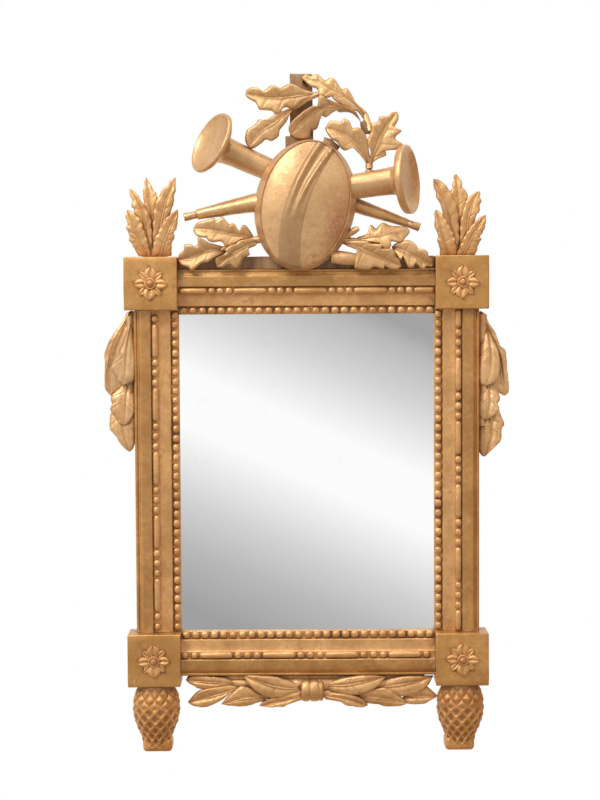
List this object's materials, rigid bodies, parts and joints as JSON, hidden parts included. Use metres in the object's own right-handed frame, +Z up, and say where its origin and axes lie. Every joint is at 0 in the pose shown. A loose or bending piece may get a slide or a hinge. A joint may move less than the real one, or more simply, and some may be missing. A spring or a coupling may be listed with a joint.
{
  "type": "giltwood mirror",
  "caption": "Upright wall mirror in a carved and gilded wooden frame with corner blocks, leaf ornament, pine-cone feet and a hunting-trophy crest; hangs from swinging rings.",
  "frame": {"origin": "middle of the glass, on the wall plane, which is the back of the boarding", "axes": "+Z up, +Y out of the back towards the wall, +X to the right of someone who faces the mirror"},
  "size_m": [0.5202, 0.0969, 0.867],
  "materials": {
    "gilt_wood": "worn water gilding over red bole",
    "bare_wood": "old bare softwood",
    "mirror_glass": "silvered plate glass",
    "iron": "dull wrought iron"
  },
  "bodies": {
    "mirror": {"backboard_1": "bare_wood", "backboard_2": "bare_wood", "backboard_3": "bare_wood", "backboard_nails": "iron", "bottom_rail": "gilt_wood", "corner_block_bottom_left": "gilt_wood", "corner_block_bottom_right": "gilt_wood", "corner_block_top_left": "gilt_wood", "corner_block_top_right": "gilt_wood", "crest_dowels": "bare_wood", "crest_ledge": "bare_wood", "crest_post": "bare_wood", "finial_dowels": "bare_wood", "finial_left": "gilt_wood", "finial_right": "gilt_wood", "flask": "gilt_wood", "foot_dowels": "bare_wood", "garland_left": "gilt_wood", "garland_right": "gilt_wood", "garland_tie": "gilt_wood", "glass_wedges": "bare_wood", "hanger_screws": "iron", "hanger_strap_left": "iron", "hanger_strap_right": "iron", "horn_left_bell": "gilt_wood", "horn_right_bell": "gilt_wood", "joint_pegs": "bare_wood", "left_stile": "gilt_wood", "mirror_plate": "mirror_glass", "mouthpiece_left": "gilt_wood", "mouthpiece_right": "gilt_wood", "pine_cone_foot_left": "gilt_wood", "pine_cone_foot_right": "gilt_wood", "right_stile": "gilt_wood", "rosette_bottom_left": "gilt_wood", "rosette_bottom_right": "gilt_wood", "rosette_top_left": "gilt_wood", "rosette_top_right": "gilt_wood", "side_drop_left": "gilt_wood", "side_drop_right": "gilt_wood", "spray_lower_left": "gilt_wood", "spray_lower_right": "gilt_wood", "spray_right": "gilt_wood", "spray_upper_left": "gilt_wood", "spray_upper_right": "gilt_wood", "top_rail": "gilt_wood"},
    "left_ring": {"hang_ring_left": "iron"},
    "right_ring": {"hang_ring_right": "iron"}
  },
  "joints": [
    {"name": "left_ring_swing", "type": "hinge", "parent": "mirror", "child": "left_ring", "pos_m": [-0.2015, -0.0051, 0.1105], "axis": [1, 0, 0], "range_deg": [0, 180]},
    {"name": "right_ring_swing", "type": "hinge", "parent": "mirror", "child": "right_ring", "pos_m": [0.2015, -0.0051, 0.1105], "axis": [1, 0, 0], "range_deg": [0, 180]}
  ]
}
